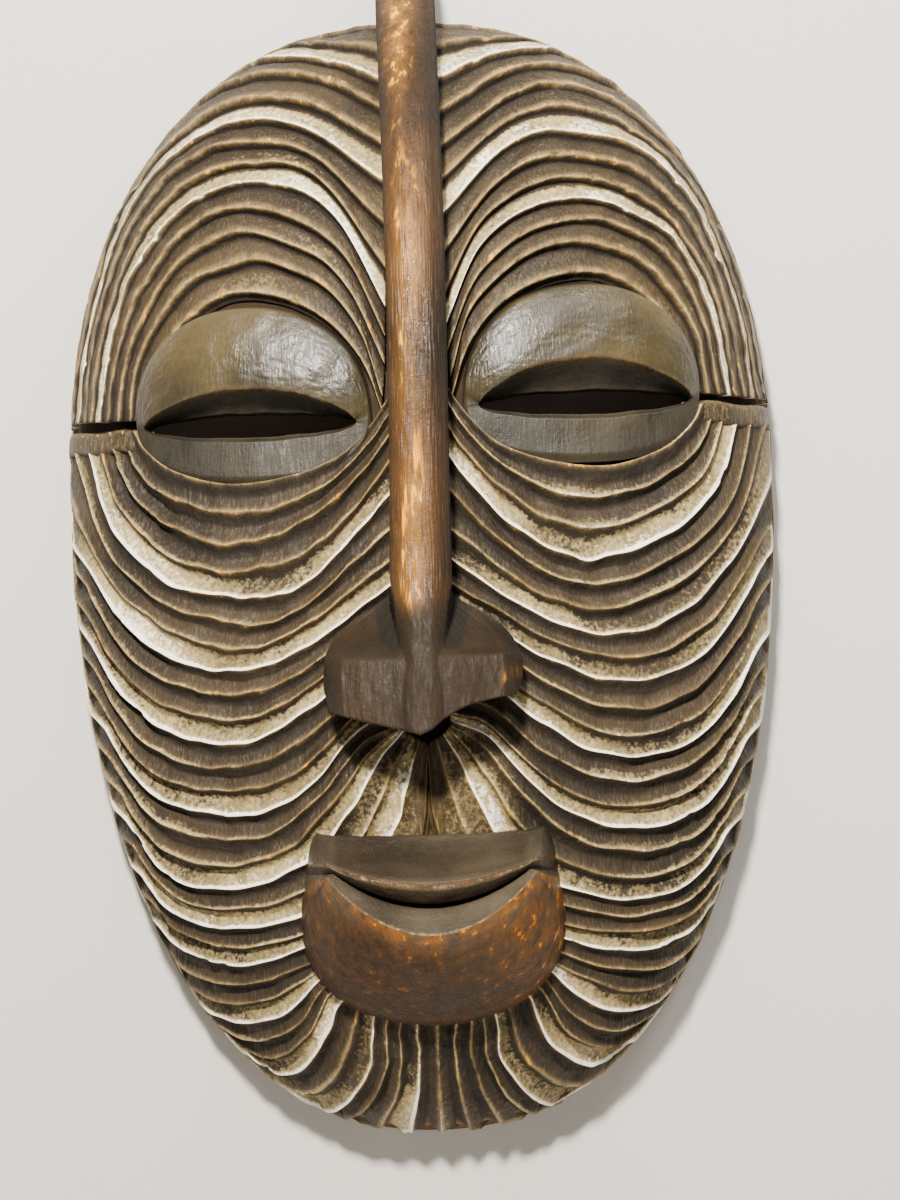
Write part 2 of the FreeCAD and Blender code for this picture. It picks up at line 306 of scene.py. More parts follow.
# One row for every few ridges: its number counted from the eye, then the ridge's course on one
# side of the face, from the crest, nose or middle of the mouth outwards to the side.
CHEEK_COURSES = (
    (0, ((11, 66), (18, 56), (30, 45), (50, 38), (72, 36), (91, 41), (102, 49), (107, 57))),
    (2, ((10, 54), (20, 40), (36, 26), (55, 17), (74, 15), (94, 21), (109, 35), (116, 57))),
    (4, ((10, 30), (24, 16), (39, 3), (56, -5), (73, -6), (96, 2), (116, 22), (126, 56))),
    (7, ((9, -4), (24, -12), (44, -25), (65, -33), (87, -32), (108, -20), (126, 7), (142, 56))),
    (10, ((10, -30), (25, -35), (44, -49), (65, -61), (87, -61), (108, -50), (126, -21), (143, 30))),
    (13, ((9, -52), (24, -57), (43, -76), (64, -88), (86, -88), (107, -77), (122, -53), (141, -6))),
    (16, ((8, -58), (19, -71), (31, -90), (48, -108), (72, -115.5), (98, -110), (115, -88), (134, -44))),
    (17, ((6, -60), (14, -76), (25, -97), (43, -115), (71, -123.5), (97, -117.5), (112.5, -98), (131, -56))),
    (18, ((3, -62), (8, -82), (16, -101), (40, -122), (71, -131), (96, -125), (110, -109), (128, -68))),
    (19, ((0, -66), (2, -92), (10, -110), (38, -129), (70, -137.5), (93, -133), (107, -118.5), (124.5, -78))),
    (20, ((0, -92), (3, -106), (14, -120), (40, -135), (68, -144), (89, -141), (104, -128), (121, -88))),
    (21, ((0, -100), (5, -113), (17, -127), (40, -141), (65, -151), (86, -150), (101, -138), (118, -99))),
    (23, ((0, -108), (7, -124), (21, -138), (40, -148), (57, -163), (76, -166), (92, -155), (110, -121))),
    (26, ((0, -120), (8, -137), (22, -149), (36, -160), (43, -177), (57, -186.5), (72, -178), (90, -156))),
    (28, ((0, -130), (6, -143), (17, -155), (23, -167), (25, -184), (36, -199), (49, -200), (68, -186))),
    (30, ((0, -140), (4, -150), (10, -159), (13, -168), (13, -181), (16, -195), (22, -206), (33, -222))),
    (32, ((0, -150), (0, -156), (0, -162), (0, -168), (0, -181), (0, -195), (0, -210), (0, -236))),
)
# The whitened ridges of each side, the seeds of its irregularities, the number of columns along the
# ridges, and the ridges between which the outer ends come to reach the rim.
CHEEK_WHITE = {-1: (4, 7, 10, 13, 16, 18, 20, 23, 26, 28, 31), 1: (3, 6, 8, 11, 14, 17, 20, 23, 26, 28)}
CHEEK_SEED = {-1: 11, 1: 23}
CHEEK_COLUMNS = 128
CHEEK_REACH = (5.5, 7.0)

# The same above the eye: from the crest over the eye and down to the notch beside it.
BROW_COURSES = (
    (0, ((13, 60), (20, 78), (33, 94), (51, 103.5), (70, 105), (87, 95), (98, 79), (104, 61))),
    (1, ((13, 66), (21, 92), (37, 109), (57, 117), (77, 114), (93, 100), (104, 82), (108, 61))),
    (2, ((12, 76), (24, 105), (41, 121), (63, 127), (84, 120), (99, 104), (108, 84), (112, 61))),
    (4, ((11, 98), (28, 131), (51, 144), (75, 143), (95, 129), (108, 109), (115, 86), (119, 61))),
    (6, ((10, 130), (36, 157), (62, 163), (87, 155), (104, 136), (115, 112), (122, 87), (125, 61))),
    (8, ((9, 158), (39, 177), (67, 178.5), (91, 164), (109, 141), (119, 115), (126, 88), (130, 61))),
    (9, ((9, 171), (40, 188), (69, 186), (94, 168), (111, 144), (122, 118), (129, 89), (133, 61))),
    (10, ((9, 183), (34, 194), (62, 194), (89, 177), (109, 151), (123, 121), (132, 91), (136, 61))),
    (11, ((9, 196), (30, 200.5), (58, 199), (86, 184), (110, 158), (126, 126), (135, 93), (139, 61))),
    (12, ((9, 208), (28, 206.5), (58, 201), (92, 184), (117, 151), (130, 120), (138, 90), (142, 61))),
    (13, ((9, 227), (36, 223), (72, 208), (106, 177), (126, 143), (137, 110), (143, 84), (145, 61))),
)
BROW_WHITE = {-1: (4, 7, 10), 1: (3, 6, 10)}
BROW_SEED = {-1: 37, 1: 51}
BROW_COLUMNS = 150
BROW_REACH = (12.0, 13.0)


def lifted(x, z, side):
    """Levels round the eye; the eye on the viewer's right sits a little higher than the other."""
    near_eye = np.exp(-((z - 80.0) / 55.0) ** 2) * (1.0 - 0.8 * ease(98.0, 138.0, x))
    return z + EYE_LIFT * near_eye * (side > 0)


def ridge_grid(courses, steps, side, along_steps, reach_rim, seed):
    """A grid that follows the ridges, rows across them and columns along, in front-view coordinates.

    Also gives the ridge number of each row, the place along of each column, and the ridges' pitch.
    """
    numbers = np.array([number for number, _ in courses], float)
    table = np.array([course for _, course in courses], float)
    first, last = int(numbers[0]), int(numbers[-1])
    order = np.array([ridge + step for ridge in range(first, last) for step in steps] + [last])
    rows = through(numbers, table, order)
    along = np.linspace(0.0, 1.0, along_steps)
    # The columns lie a little closer together halfway along.
    eased = along + 0.06 * np.sin(2 * math.pi * along) / math.pi
    grid = through(np.linspace(0.0, 1.0, rows.shape[1]), rows.transpose(1, 0, 2), eased)
    grid = grid.transpose(1, 0, 2)
    still_rim = ease(1.0, 0.85, face_radius(grid[..., 0], grid[..., 1]))
    wobble = hand_wobble(order, along, seed) * still_rim
    grid = grid + wobble[..., None] * np.gradient(grid, order, axis=0)
    x, z = grid[..., 0], lifted(grid[..., 0], grid[..., 1], side)
    ends = ease(0.86, 1.0, along)[None, :] * ease(*reach_rim, order)[:, None]
    radius = face_radius(x, z)
    stretch = 1.0 + ends * (RIM_RADIUS / radius - 1.0)
    pitch = np.hypot(np.gradient(x, order, axis=0), np.gradient(z, order, axis=0))
    return x * stretch, WIDEST_Z + (z - WIDEST_Z) * stretch, order, along, pitch


def hand_wobble(order, along, seed):
    """How far the ridges stray from their even courses, in ridges."""
    slow = 0.18 * ripple(order[:, None] * 0.8, along[None, :] * 9.0, seed)
    quick = 0.08 * ripple(order[:, None] * 1.7, along[None, :] * 34.0, seed + 7)
    quiet = ease(0.0, 1.5, order - order[0]) * ease(0.0, 1.5, order[-1] - order)
    return (slow + quick) * quiet[:, None]


def flute(inside):
    """Section across a cheek ridge: a gouged groove between two crests, deepest nearer the upper one."""
    falling = 1.0 - np.clip(inside / 0.43, 0.0, 1.0)
    climbing = 1.0 - np.clip((1.0 - inside) / 0.57, 0.0, 1.0)
    return np.maximum(falling ** 1.6, climbing ** 1.35) - 1.0


def shingle(inside):
    """Section across a brow ridge: a deep narrow groove, a sharp lower edge, then a flat face."""
    rise = ease(0.05, 0.19, inside)
    fall = 0.50 * np.clip((inside - 0.22) / 0.78, 0.0, 1.0) ** 1.2
    lip = 0.35 * ease(0.96, 1.02, inside)
    return rise * (1.0 - fall - lip) - 1.0


def gouged(height, order, along, seed, chip_depth, edge):
    """A height with chips out of it where edge is near 1, and with the roughness of the tool."""
    chips = speckle(height.shape, seed + 2, (2.5, 1.0))
    height = height - chip_depth * ease(1.2, 2.4, chips) * edge
    height = height + 0.16 * speckle(height.shape, seed + 3, (1.5, 1.5))
    return height + 0.3 * ripple(order[:, None] * 3.1, along[None, :] * 45.0, seed + 5)


def ridged_sheet(name, side, grid, height, coats, material):
    """The plain face under a grid, raised by height along its normals, as one closed piece.

    The grid is drawn for the viewer's right and mirrored for the other side.
    """
    plain, normal = face_and_normals(*grid)
    front = plain + normal * height[..., None]
    back = plain - normal * SHEET_DEPTH
    for points in (front, back):
        points[..., 1] = np.maximum(points[..., 1], 0.0)
        points[..., 0] *= side
    full_coats = np.broadcast_arrays(*coats, height)[:len(coats)]
    return thick_sheet(sided(name, side), front, back, np.stack(full_coats, axis=-1), material)


def cheek(side, material):
    """The ridged cheek of one side, from the eye to the chin."""
    seed = CHEEK_SEED[side]
    x, z, order, along, pitch = ridge_grid(
        CHEEK_COURSES, CHEEK_STEPS, side, CHEEK_COLUMNS, CHEEK_REACH, seed)
    crest = np.round(order)[:, None]
    offset = order[:, None] - crest
    inside = (order - np.floor(order))[:, None]
    deep = CHEEK_DEPTH * (1.0 + 0.28 * ripple(crest * 2.3, along[None, :] * 7.0, seed + 1))
    deep = deep * ease(-0.3, 1.2, order)[:, None] * np.clip(pitch / 8.5, 0.2, 1.15)
    fan = ease(40.0, 24.0, x) * ease(-58.0, -72.0, z) * ease(-118.0, -100.0, z)
    rubbed = np.maximum(ease(6.0, 2.5, pitch), fan)
    height = deep * flute(inside) * (1.0 - 0.5 * rubbed)
    height = gouged(height, order, along, seed, 0.8, np.exp(-(offset / 0.16) ** 2))
    clay = clay_field(order, along, CHEEK_WHITE[side], seed + 4)
    clay = clay * (1.0 - 0.35 * rubbed) + 0.33 * rubbed
    clay = clay * (1.0 - ease(7.0, 2.0, x) * ease(-112.0, -95.0, z))
    handled = 0.75 + 0.5 * ripple(crest * 1.3, along[None, :] * 16.0, seed + 6)
    wear = np.exp(-(offset / 0.07) ** 2) * handled
    # Painted shade: dark from just under each crest, where the steep side faces down, through the groove,
    # lightening up the rising slope to the next crest.
    above = 0.15 + 0.50 * ease(-0.03, -0.22, offset)
    dark = np.where(offset > 0.0, 0.15 + 0.80 * ease(0.0, 0.07, offset), above)
    coats = (clay, wear, dark * (1.0 - 0.7 * rubbed))
    return ridged_sheet("cheek", side, (x, z), height, coats, material)


def brow(side, material):
    """The ridged forehead of one side, from the eye to the top."""
    seed = BROW_SEED[side]
    x, z, order, along, pitch = ridge_grid(
        BROW_COURSES, BROW_STEPS, side, BROW_COLUMNS, BROW_REACH, seed)
    band = np.floor(order)[:, None]
    inside = order[:, None] - band
    deep = BROW_DEPTH * (1.0 + 0.22 * ripple(band * 2.1, along[None, :] * 5.0, seed + 1))
    deep = deep * np.clip(pitch / 7.0, 0.35, 1.15)
    height = deep * shingle(inside)
    height = gouged(height, order, along, seed, 1.1, np.exp(-((inside - 0.2) / 0.1) ** 2))
    patches = 0.18 * ripple(band * 3.1, along[None, :] * 11.0, seed + 4)
    face = ease(0.14, 0.22, inside) * ease(1.0, 0.7, inside)
    white = np.isin(band, BROW_WHITE[side])
    edge = 0.35 * np.exp(-((inside - 0.22) / 0.06) ** 2)
    clay = np.where(white, 0.72 + edge + patches, 0.14 + edge + patches) * face
    wear = ease(0.12, 0.2, inside) * ease(0.50, 0.2, inside)
    # Painted shadow in the narrow groove under each band's overhanging lower edge, and some at the band's
    # top, under the next band's edge.
    groove = 1.25 * ease(0.19, 0.08, inside) + 0.5 * ease(0.75, 1.0, inside)
    stain = 0.45 * ease(0.20, 0.40, inside) * (1.0 - 0.6 * white)
    coats = (clay, wear, groove + stain)
    return ridged_sheet("brow", side, (x, z), height, coats, material)


def clay_field(order, along, white, seed):
    """How close the white clay is: 1 on the crest of a chosen ridge, fading over the groove above it."""
    below = np.ceil(order - 0.02)[:, None]
    above = below - order[:, None]
    patches = 0.24 * ripple(below * 3.1, along[None, :] * 12.0, seed)
    # The thin line along each crest is the brightest: clay rubbed in there, with a painted highlight along
    # the crest.
    line = 0.62 * np.exp(-((above - 0.03) / 0.065) ** 2)
    chosen = (0.57 - 0.16 * above) * ease(0.95, 0.60, above) + line
    plain = 0.16 * ease(0.5, 0.0, above) + 0.55 * line
    field = np.where(np.isin(below, white), chosen, plain)
    return np.clip(field + patches * (field > 0.05), 0.0, 1.3)


# ---- eyes

# The mesh of one eye, and the seeds of its irregularities.
EYE_COLUMNS = 240
EYE_ROWS = 70
EYE_SEED = {-1: 71, 1: 83}

# The lids' outer edge: how far it lies from the middle of the eye, sideways, up and down.
LID_OUTER_REACH = 43.0
LID_INNER_REACH = 45.5
LID_RISE = 43.5
LID_DROP = 25.0

# The direction in which the lids stand out of the face.
LID_OUTWARD = (0.12, 1.0, 0.05)

# How far behind the slit's edge its walls reach, ring by ring, and the skirt round the lids.
SLIT_WALL = (18.0, 9.0, 3.0)
LID_SKIRT = 7.0


def eye(side, material):
    """One eye: the domed lid, the see-through slit and the flat lower lid."""
    angle = np.linspace(0.0, 2.0 * math.pi, EYE_COLUMNS, endpoint=False)
    slit_x, slit_z, rim_x, rim_z = eye_outlines(side, angle)
    share = np.linspace(0.0, 1.0, EYE_ROWS)[:, None]
    x = slit_x + (rim_x - slit_x) * share
    z = slit_z + (rim_z - slit_z) * share
    outward = np.array(LID_OUTWARD)
    outward /= np.linalg.norm(outward)
    bevel_end = (0.20 if side < 0 else 0.27) * np.abs(np.sin(angle))
    blend = ease(-0.10, 0.10, np.sin(angle))[None, :]
    height = eye_relief(share, angle, bevel_end, blend)
    seed = EYE_SEED[side]
    height = height + 0.7 * ripple(x * 0.09, z * 0.10, seed) + 0.22 * ripple(x * 0.3, z * 0.3, seed + 1)
    height = height + 0.05 * blend * speckle(x.shape, seed, (1, 1))
    front = on_face(x, z) + outward * height[..., None]
    walls = [front[0] - np.array([0.0, step, 0.0]) for step in SLIT_WALL]
    skirt = front[-1] - np.array([0.0, LID_SKIRT, 0.0])
    rings = np.concatenate([np.stack(walls), front, skirt[None]], axis=0)
    faces = sheet_faces(*rings.shape[:2], wrap=True)
    last = (len(rings) - 1) * EYE_COLUMNS
    for column in range(EYE_COLUMNS):
        follow = (column + 1) % EYE_COLUMNS
        faces.append((last + column, last + follow, follow, column))
    coats = eye_coats(rings.shape, share, bevel_end, blend)
    rings[..., 0] *= side
    return make_piece(sided("eye", side), rings.reshape(-1, 3), faces, coats.reshape(-1, 3), material)


def eye_outlines(side, angle):
    """x and z of the slit, then of the lids' outer edge, at each angle round the eye."""
    upper = np.sin(angle) >= 0
    lift = np.abs(np.sin(angle))
    middle_z = EYE_Z + EYE_LIFT * (side > 0)
    slit_x = EYE_X + SLIT_HALF_LENGTH * np.cos(angle)
    slit_z = middle_z + SLIT_HALF_HEIGHT * np.sin(angle)
    slit_z = slit_z + 0.35 * ripple(angle * 9.0, angle * 4.0, 61 + side) * lift
    reach = np.where(np.cos(angle) > 0, LID_OUTER_REACH, LID_INNER_REACH)
    rim_x = EYE_X + reach * np.sign(np.cos(angle)) * np.abs(np.cos(angle)) ** np.where(upper, 0.92, 0.8)
    rim_z = middle_z + 2.0 + np.where(upper, LID_RISE * lift ** 0.93, -LID_DROP * lift ** 0.8)
    return slit_x, slit_z, rim_x, rim_z


def eye_relief(share, angle, bevel_end, blend):
    """How far the lids stand out, from the slit at share 0 to their outer edge at share 1."""
    lift = np.abs(np.sin(angle))
    bevel = np.clip(share / np.maximum(bevel_end, 0.02), 0.0, 1.0) ** 1.5
    dome = np.sqrt(np.clip(1.0 - ((share - 0.42) / 0.62) ** 2, 0.0, 1.0))
    lid = -7.5 + bevel * 7.5 + 7.5 * dome * lift ** 0.7 * bevel
    lid = lid - 10.0 * ease(0.93, 1.0, share)
    pouch = -3.0 + 2.4 * ease(0.0, 0.12, share) - 1.6 * ease(0.8, 1.0, share)
    return pouch * (1.0 - blend) + lid * blend


def eye_coats(shape, share, bevel_end, blend):
    """Wear on the lid's edge; painted shade on the bevel under the lid, round the outer edge and in the
    slit's walls; darker wood on the lower lid.
    """
    # Painted shade on the bevel between the slit and the lid's edge, which faces down.
    under_lid = ease(1.0, 0.7, share / np.maximum(bevel_end, 0.02)) * blend
    lids = slice(len(SLIT_WALL), -1)
    coats = np.zeros(shape)
    coats[lids, :, 1] = np.exp(-((share - bevel_end) / 0.03) ** 2) * blend * 0.2
    lid_shade_and_dark_wood = np.maximum(0.85 * under_lid, 0.75 * (1.0 - blend))
    # Painted shade round the lids' outer edge, where they sink under the brow.
    coats[lids, :, 2] = lid_shade_and_dark_wood + ease(0.955, 1.0, share)
    # Painted shade: the slit's walls dark to black.
    coats[:len(SLIT_WALL), :, 2] = 1.3
    return coats


def temple(side, material):
    """The plain band beside the eye, between the ends of the brow ridges and the cheek ridges."""
    inner_end, rows, columns = 103.0, 14, 44
    across, up = np.meshgrid(np.linspace(0.0, 1.0, columns), np.linspace(0.0, 1.0, rows))
    grid_x = inner_end + (HALF_WIDTH * RIM_RADIUS - inner_end) * across
    droop = -1.0 * across if side < 0 else 5.0 - 5.0 * across
    grid_z = 49.0 + 8.6 * up + droop + 0.4 * np.sin(grid_x * 0.35)
    squeeze = np.minimum(1.0, RIM_RADIUS / face_radius(grid_x, grid_z))
    round_off = -1.6 * np.abs(up * 2.0 - 1.0) ** 4
    height = 0.4 + round_off - 5.0 * ease(0.14, 0.0, across)
    height = height + 0.25 * ripple(grid_x * 0.3, grid_z * 0.5, 91 + side)
    wear = 0.5 * np.exp(-((up - 0.93) / 0.08) ** 2)
    # Painted shade along the band's rounded upper and lower edges, over an even darker tone.
    coats = (0.25, wear, 0.25 - 0.35 * round_off)
    return ridged_sheet("temple", side, (grid_x * squeeze, grid_z), height, coats, material)


# ---- crest and nose

# Sections down the keel: z, half width, depth forward in the middle, and depth of its shoulders.
KEEL = (
    (226, 8.5, 12, 8), (228, 10.5, 22, 17), (222, 11.0, 44, 38), (210, 11.2, 60, 54),
    (190, 11.2, 78, 72), (165, 11.2, 93, 87), (130, 11.2, 106, 100), (90, 11.2, 113, 107),
    (50, 11.2, 116, 110), (20, 11.4, 118, 111), (0, 11.6, 120, 112), (-12, 10.8, 122, 113),
    (-24, 9.0, 125, 117), (-31, 7.8, 127, 122), (-42, 8.0, 129, 126), (-53, 8.0, 130, 127),
)


CREST_ROWS = 320
CREST_COLUMNS = 141

# Below this level the rows of the nose bend to follow its underside.
BEND_LEVEL = -30.0

# Above this level the crest passes over the top of the head and reaches back almost to the rim;
# any lower, its back would show in the hanger's pocket.
OVERHANG_LEVEL = 207.0


def crest_and_nose(material):
    """The keel from behind the top of the head down to the tip of the nose, with the nose's wings."""
    table = np.array(KEEL, float)
    travel = np.cumsum(np.concatenate([[0.0], np.hypot(np.diff(table[:, 0]), np.diff(table[:, 2]))]))
    course = through(travel, table, np.linspace(0.0, travel[-1], CREST_ROWS))
    z_line, half, middle, shoulder = course.T
    share = np.linspace(-1.0, 1.0, CREST_COLUMNS)
    width = np.maximum(half, wing_half_width(z_line))
    x = width[:, None] * (np.sign(share) * np.abs(share) ** 0.9)[None, :]
    level = np.broadcast_to(z_line[:, None], x.shape)
    base = dome_depth(face_radius(0.0, z_line))
    bar = middle[:, None] - (middle - shoulder)[:, None] * bar_section(x / half[:, None])
    wings = wing_depth(x, level, base[:, None], middle[:, None])
    on_bar = np.abs(x) / half[:, None] <= 1.0
    depth = np.where(on_bar, np.maximum(bar, np.where(level < -8.0, wings, 0.0)), wings)
    depth = depth + 0.5 * ripple(x * 0.22, level * 0.06, 101) + 0.18 * ripple(x * 0.7, level * 0.25, 102)
    depth = depth + 0.08 * speckle(depth.shape, 103, (3.0, 1.0))
    lean = 0.9 * np.sin((z_line - 30.0) / 55.0)
    front = np.stack([x + lean[:, None], depth, bent_levels(x, level)], axis=-1)
    sunk = np.minimum(base - 6.0, depth.min(axis=1) - 2.0)
    sunk = np.where(z_line > OVERHANG_LEVEL, np.minimum(sunk, 4.0), sunk)
    back = front.copy()
    back[..., 1] = np.maximum(sunk, 0.4)[:, None]
    taper(front, back)
    return thick_sheet("crest_and_nose", front, back, crest_coats(x, level, half[:, None]), material)


def bent_levels(x, level):
    """The rows' own levels, but bent at the bottom so that the last one is the nose's underside."""
    wave = nose_underside(x)
    lowest = KEEL[-1][0]
    bent = wave + (level - lowest) * (wave - BEND_LEVEL) / (lowest - BEND_LEVEL)
    return np.where(level < BEND_LEVEL, bent, level)


def crest_coats(x, level, half):
    """Wear down the left of the crest and on the nose's right corner; painted shade at the keel's foot and
    down its right flank, a darker left edge, and darker wood over the nose.
    """
    left_facet = np.exp(-((x + 3.0) / 4.2) ** 2)
    rub = 0.6 + 0.4 * ease(0.0, 60.0, np.abs(level - 45.0))
    wear = np.clip(left_facet * rub * (0.8 + 0.5 * ripple(x * 0.15, level * 0.035, 107)), 0.0, 1.0)
    wear = wear * ease(-20.0, 5.0, level)
    right_corner = ease(-34.0, -48.0, level) * ease(27.0, 34.0, x)
    wear = wear + np.clip(right_corner * (0.6 + ripple(x * 0.2, level * 0.2, 108)), 0.0, 1.0)
    place = x / half
    off = np.abs(x) / half
    # Painted shade at the keel's foot, where it meets the face.
    foot = ease(0.85, 1.1, off) * ease(1.9, 1.2, off) * ease(-31.0, -24.0, level)
    # Painted shade down the right flank, the side away from the light; a darker edge colour down the left.
    flanks = 0.75 * ease(0.2, 0.75, place) + 0.45 * ease(-0.35, -0.9, place)
    flanks = flanks * ease(-8.0, 2.0, level)
    # Darker wood over the nose.
    nose = 0.82 * ease(0.0, -16.0, level)
    return np.stack([np.zeros_like(x), wear, 0.6 * foot + flanks + nose], axis=-1)


def bar_section(place):
    """Section across the keel from -1 to 1: nearly flat in front, rounding down at both shoulders."""
    flat = 0.10 * np.abs(place + 0.15)
    return flat + 0.9 * np.clip((np.abs(place) - 0.30) / 0.70, 0.0, 1.0) ** 1.8


def wing_half_width(z):
    """Half width of the nose at a level; less than the keel's own width above the nose."""
    levels = (-54.0, -50.0, -44.0, -36.0, -29.0, -24.0, -20.0, -16.5, -13.5, -10.5, -7.0, 0.0)
    widths = (34.5, 36.0, 37.3, 37.3, 36.3, 33.5, 30.0, 25.5, 20.3, 15.0, 11.5, 8.0)
    return np.interp(z, levels, widths)


def wing_depth(x, z, base, middle):
    """Depth of the wings of the nose: bevels under the upper outline, then one broad blunt front."""
    widths = (8.0, 11.5, 15.0, 20.3, 25.5, 30.0, 33.5, 36.3, 37.3)
    levels = (0.0, -7.0, -10.5, -13.5, -16.5, -20.0, -24.0, -28.0, -28.5)
    top = np.interp(np.abs(x), widths, levels)
    bevel = np.clip((top - z) / (top + 31.5), 0.0, 1.0)
    edge = np.clip((38.5 - np.abs(x)) / 8.0, 0.0, 1.0) ** 0.7
    front = middle - 1.5 - 0.12 * np.abs(x) - 0.004 * x * x
    return base + 2.0 + (front - base - 2.0) * bevel ** 1.25 * edge


def nose_underside(x):
    """Level of the bottom edge of the nose across its width."""
    left = ((-36.0, -50.5), (-29.0, -53.0), (-20.0, -55.5), (-12.0, -57.5), (-6.0, -59.0), (-1.5, -60.5))
    right = ((3.0, -58.5), (7.0, -55.0), (12.0, -52.0), (17.6, -49.5), (29.0, -47.0), (36.5, -46.0))
    return np.interp(x, *zip(*left, *right))


# ---- mouth

# Feature lines across the mouth block from top to bottom: half width, z at its ends and in the
# middle, how far it stands out of the face there, and x and z where it meets the side wall.
MOUTH_LINES = (
    (43.0, -95.0, -97.0, -8.0, -8.0, 44.0, -96.0),
    (42.0, -96.0, -98.0, 2.0, 3.0, 45.5, -98.0),
    (41.0, -99.5, -104.5, 8.0, 10.0, 46.5, -101.0),
    (40.0, -105.0, -112.5, 19.0, 24.0, 47.4, -105.0),
    (39.5, -107.0, -115.5, 23.5, 31.0, 47.8, -107.0),
    (39.0, -108.5, -118.5, 24.0, 31.5, 48.0, -108.5),
    (37.0, -110.5, -123.3, 22.5, 26.5, 48.2, -110.5),
    (36.0, -111.0, -124.3, 22.0, 18.0, 48.3, -111.5),
    (37.0, -111.5, -125.5, 22.5, 26.0, 48.5, -112.5),
    (39.5, -112.5, -135.3, 25.0, 37.5, 49.0, -116.0),
    (40.5, -115.0, -139.0, 23.5, 37.0, 49.4, -118.5),
    (43.0, -119.0, -147.0, 17.0, 33.0, 49.9, -122.0),
    (47.0, -126.0, -157.0, 8.0, 24.0, 50.4, -127.0),
    (49.0, -131.0, -166.0, 0.0, 12.0, 50.8, -132.0),
    (50.0, -134.0, -171.0, -8.0, -8.0, 50.5, -134.5),
)

# The lines, counted from the top, of the upper lip's ridge, the mouth's opening and the lower edge.
LIP_RIDGE = 4.5
MOUTH_SEAM = 7.0
LOWER_EDGE = 9.0

# The mesh of the block: rows for each line, columns across its front and columns on each flank.
ROWS_PER_LINE = 8
FRONT_COLUMNS = 121
FLANK_STEPS = 13


def mouth_block(material):
    """The block of the mouth: a ledge above, the parted lips and a rounded muzzle below."""
    lines = np.array(MOUTH_LINES, float)
    steps = np.arange(len(lines), dtype=float)
    dense = np.linspace(0.0, steps[-1], ROWS_PER_LINE * (len(steps) - 1) + 1)
    values = [np.interp(dense, steps, line) for line in lines.T]
    half, end_z, mid_z, end_out, mid_out, side_x, side_z = values
    share = np.linspace(-1.0, 1.0, FRONT_COLUMNS)
    point = 0.9 + 1.0 * ease(2.0, 4.0, dense) * ease(12.0, 9.5, dense)
    bow = np.cos(share * math.pi / 2)[None, :] ** point[:, None]
    x = half[:, None] * np.sin(share * math.pi / 2)[None, :]
    z = end_z[:, None] + (mid_z - end_z)[:, None] * bow
    out = end_out[:, None] + (mid_out - end_out)[:, None] * bow
    flank = np.linspace(1.0, 0.0, FLANK_STEPS + 1)[None, :-1]
    flank_x = half[:, None] + (side_x - half)[:, None] * flank
    flank_z = end_z[:, None] + (side_z - end_z)[:, None] * flank
    flank_out = end_out[:, None] - (end_out + 8.0)[:, None] * flank ** 1.6
    x = np.concatenate([-flank_x, x, flank_x[:, ::-1]], axis=1)
    z = np.concatenate([flank_z, z, flank_z[:, ::-1]], axis=1)
    out = np.concatenate([flank_out, out, flank_out[:, ::-1]], axis=1)
    base = dome_depth(face_radius(x, z))
    out = out + 0.5 * ripple(x * 0.13, z * 0.16, 131) + 0.25 * ripple(x * 0.5, z * 0.6, 132)
    out = out + 0.08 * speckle(out.shape, 133, (1.0, 1.0))
    front = np.stack([x, base + out, z], axis=-1)
    back = np.stack([x, base - 9.0, z], axis=-1)
    taper(front, back)
    return thick_sheet("mouth_block", front, back, mouth_coats(dense[:, None], x, z, out), material)


def mouth_coats(row, x, z, out):
    """Clay, wear and darkening over the mouth block: painted shade in the mouth's seam, under the upper lip
    and where its sides turn in to the face, darker wood on the ledge and the muzzle; row counts the lines
    from the top.
    """
    between = ease(38.0, 34.0, np.abs(x))
    seam = np.exp(-((row - MOUTH_SEAM) / 0.55) ** 4) * ease(32.0, 25.0, np.abs(x))
    ledge = ease(0.8, 1.5, row) * ease(LIP_RIDGE - 0.6, LIP_RIDGE - 1.3, row)
    lip_roof = ease(LIP_RIDGE + 0.6, LIP_RIDGE + 1.2, row)
    lip_roof = lip_roof * ease(MOUTH_SEAM + 0.4, MOUTH_SEAM, row)
    muzzle = ease(LOWER_EDGE + 0.6, LOWER_EDGE + 1.8, row)
    side_wall = ease(12.0, -8.0, out) * (row > 1.5)
    # Painted shade in the seam, under the upper lip and where the sides turn in to the face; darker wood on
    # the ledge and the muzzle.
    shade = 1.3 * seam + between * (0.70 * lip_roof + 0.45 * ledge) + 0.4 * side_wall + 0.62 * muzzle
    edge = ease(LOWER_EDGE - 0.1, LOWER_EDGE + 0.15, row)
    edge = edge * ease(LOWER_EDGE + 2.0, LOWER_EDGE + 0.3, row)
    patches = 0.6 + 0.4 * ripple(x * 0.2, z * 0.1, 137) + 0.4 * ease(5.0, 35.0, x)
    red = muzzle * (0.16 + 0.30 * ease(12.0, 42.0, x))
    wear = np.clip(0.25 * np.exp(-((row - LIP_RIDGE) / 0.4) ** 2) + edge * patches + red, 0.0, 1.0)
    rim = np.exp(-((row - LOWER_EDGE + 0.04) / 0.09) ** 2)
    ridge = np.exp(-((row - LIP_RIDGE) / 0.45) ** 2)
    clay = between * (0.48 * rim + 0.36 * ridge)
    return np.stack([clay, wear, np.clip(shade, 0.0, 1.3)], axis=-1)


# ---- the hollow back

SHELL_COLUMNS = 180

